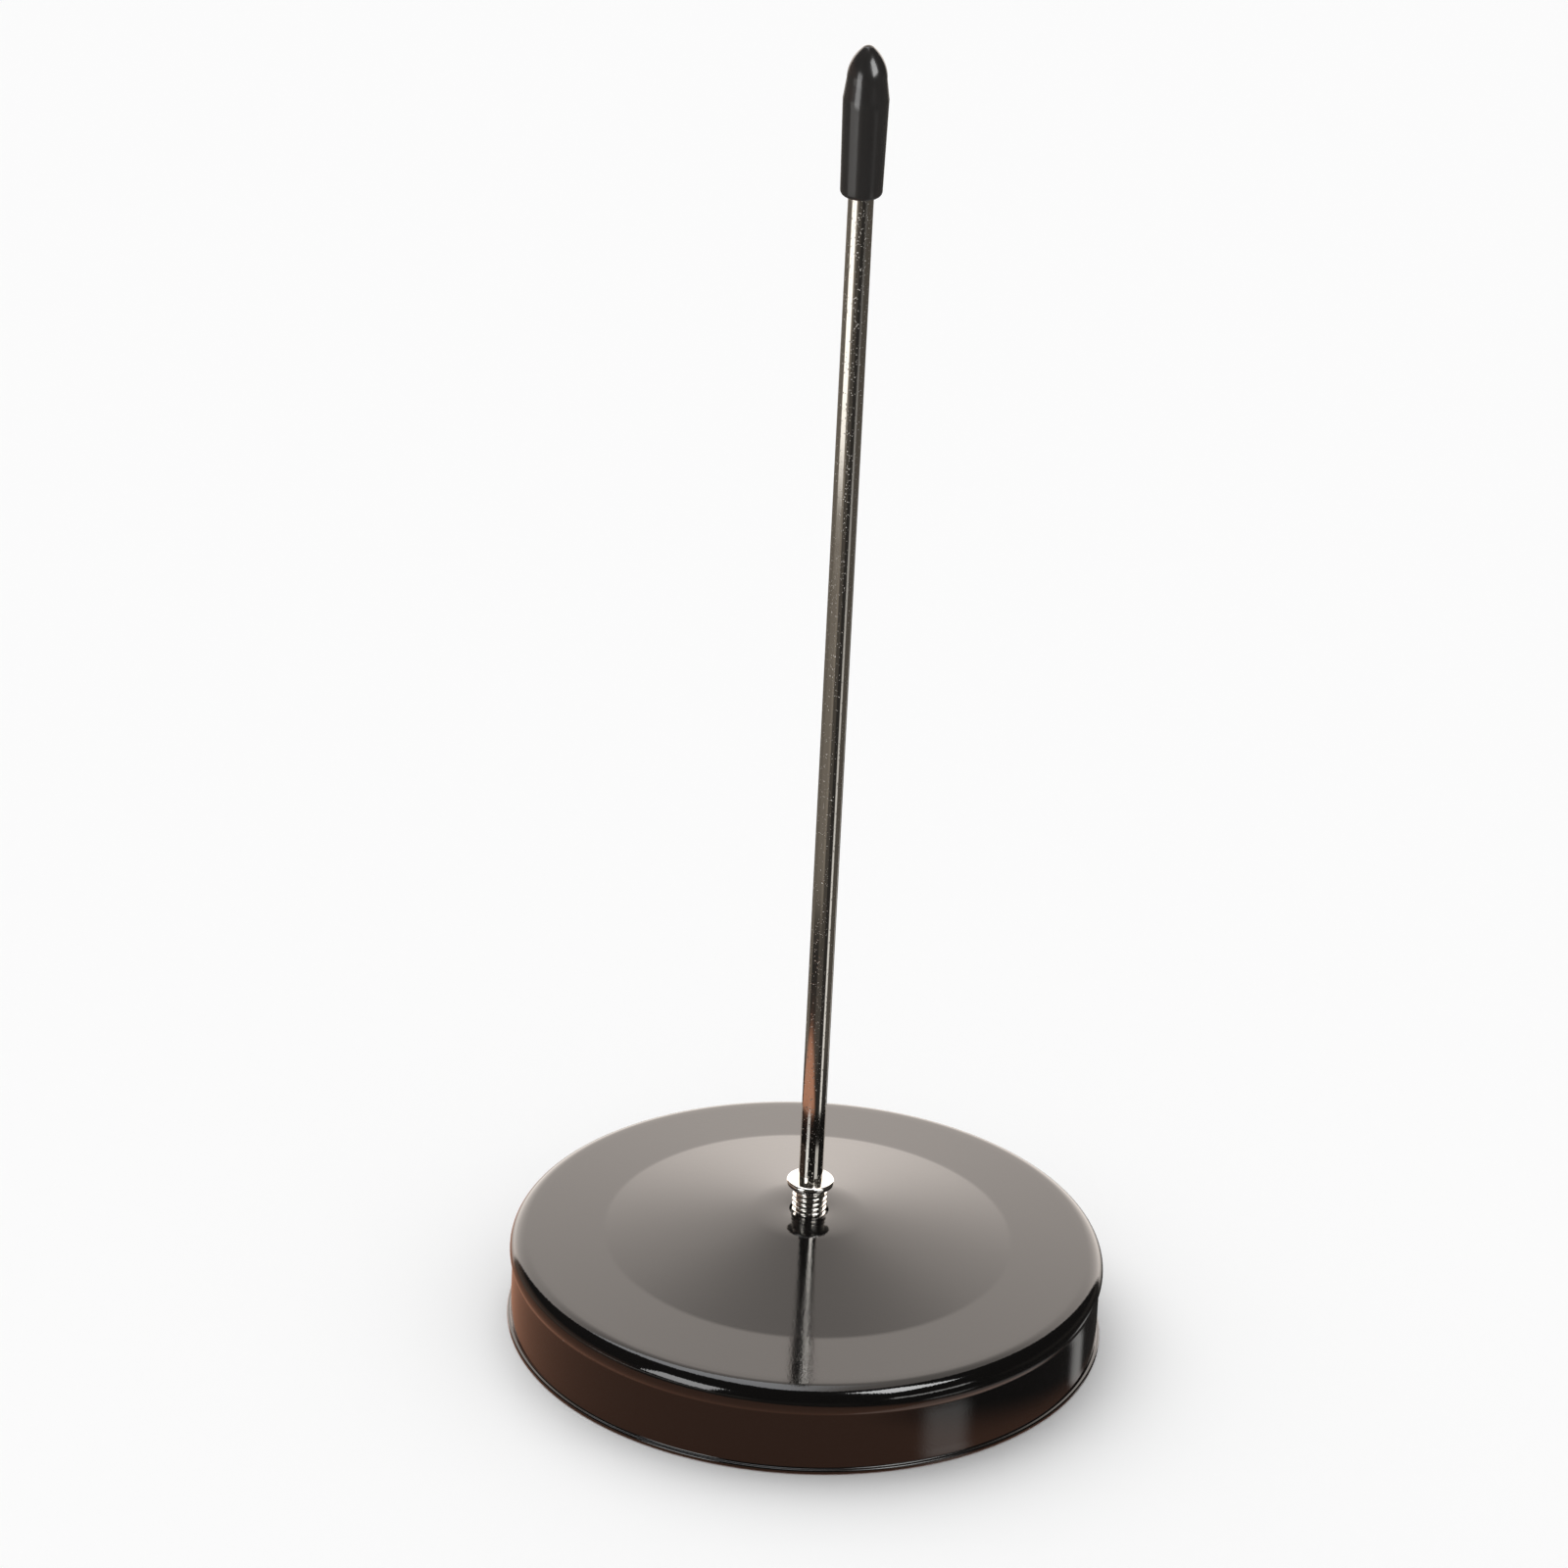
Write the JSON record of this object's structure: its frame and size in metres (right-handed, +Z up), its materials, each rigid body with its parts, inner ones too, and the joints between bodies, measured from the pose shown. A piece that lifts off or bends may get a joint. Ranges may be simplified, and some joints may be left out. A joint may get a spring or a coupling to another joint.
{
  "type": "bill spike",
  "caption": "Desk bill spike: a hollow round painted base with a low cone, a plated spike that screws into it on a collared stud, and a soft cap over the point.",
  "frame": {"origin": "middle of the base, on the table", "axes": "+Z up along the spike; X and Y lie across the round base"},
  "size_m": [0.0852, 0.0852, 0.1964],
  "materials": {
    "base_paint": "gloss black paint on pressed steel",
    "nut_steel": "plain zinc-grey steel",
    "stud_plating": "bright plating",
    "rod_plating": "bright plating, slightly pitted",
    "cap_vinyl": "glossy soft vinyl"
  },
  "bodies": {
    "base": {"base_shell": "base_paint", "base_nut": "nut_steel"},
    "spike": {"spike_rod": "rod_plating"},
    "stud": {"threaded_stud": "stud_plating"},
    "cap": {"tip_cap": "cap_vinyl"}
  },
  "joints": [
    {"name": "spike_lift", "type": "slide", "parent": "base", "child": "spike", "axis": [0, 0, 1], "range_m": [-0.004, 0.0044]},
    {"name": "stud_turn", "type": "hinge", "parent": "spike", "child": "stud", "pos_m": [0, 0, 0.0224], "axis": [0, 0, 1], "range_deg": [-1805, 1985]},
    {"name": "cap_pull", "type": "slide", "parent": "spike", "child": "cap", "axis": [0, 0, 1], "range_m": [0, 0.02]}
  ],
  "couplings": [
    {"joint": "stud_turn", "follows": "spike_lift", "rad_per_m": 7854}
  ]
}
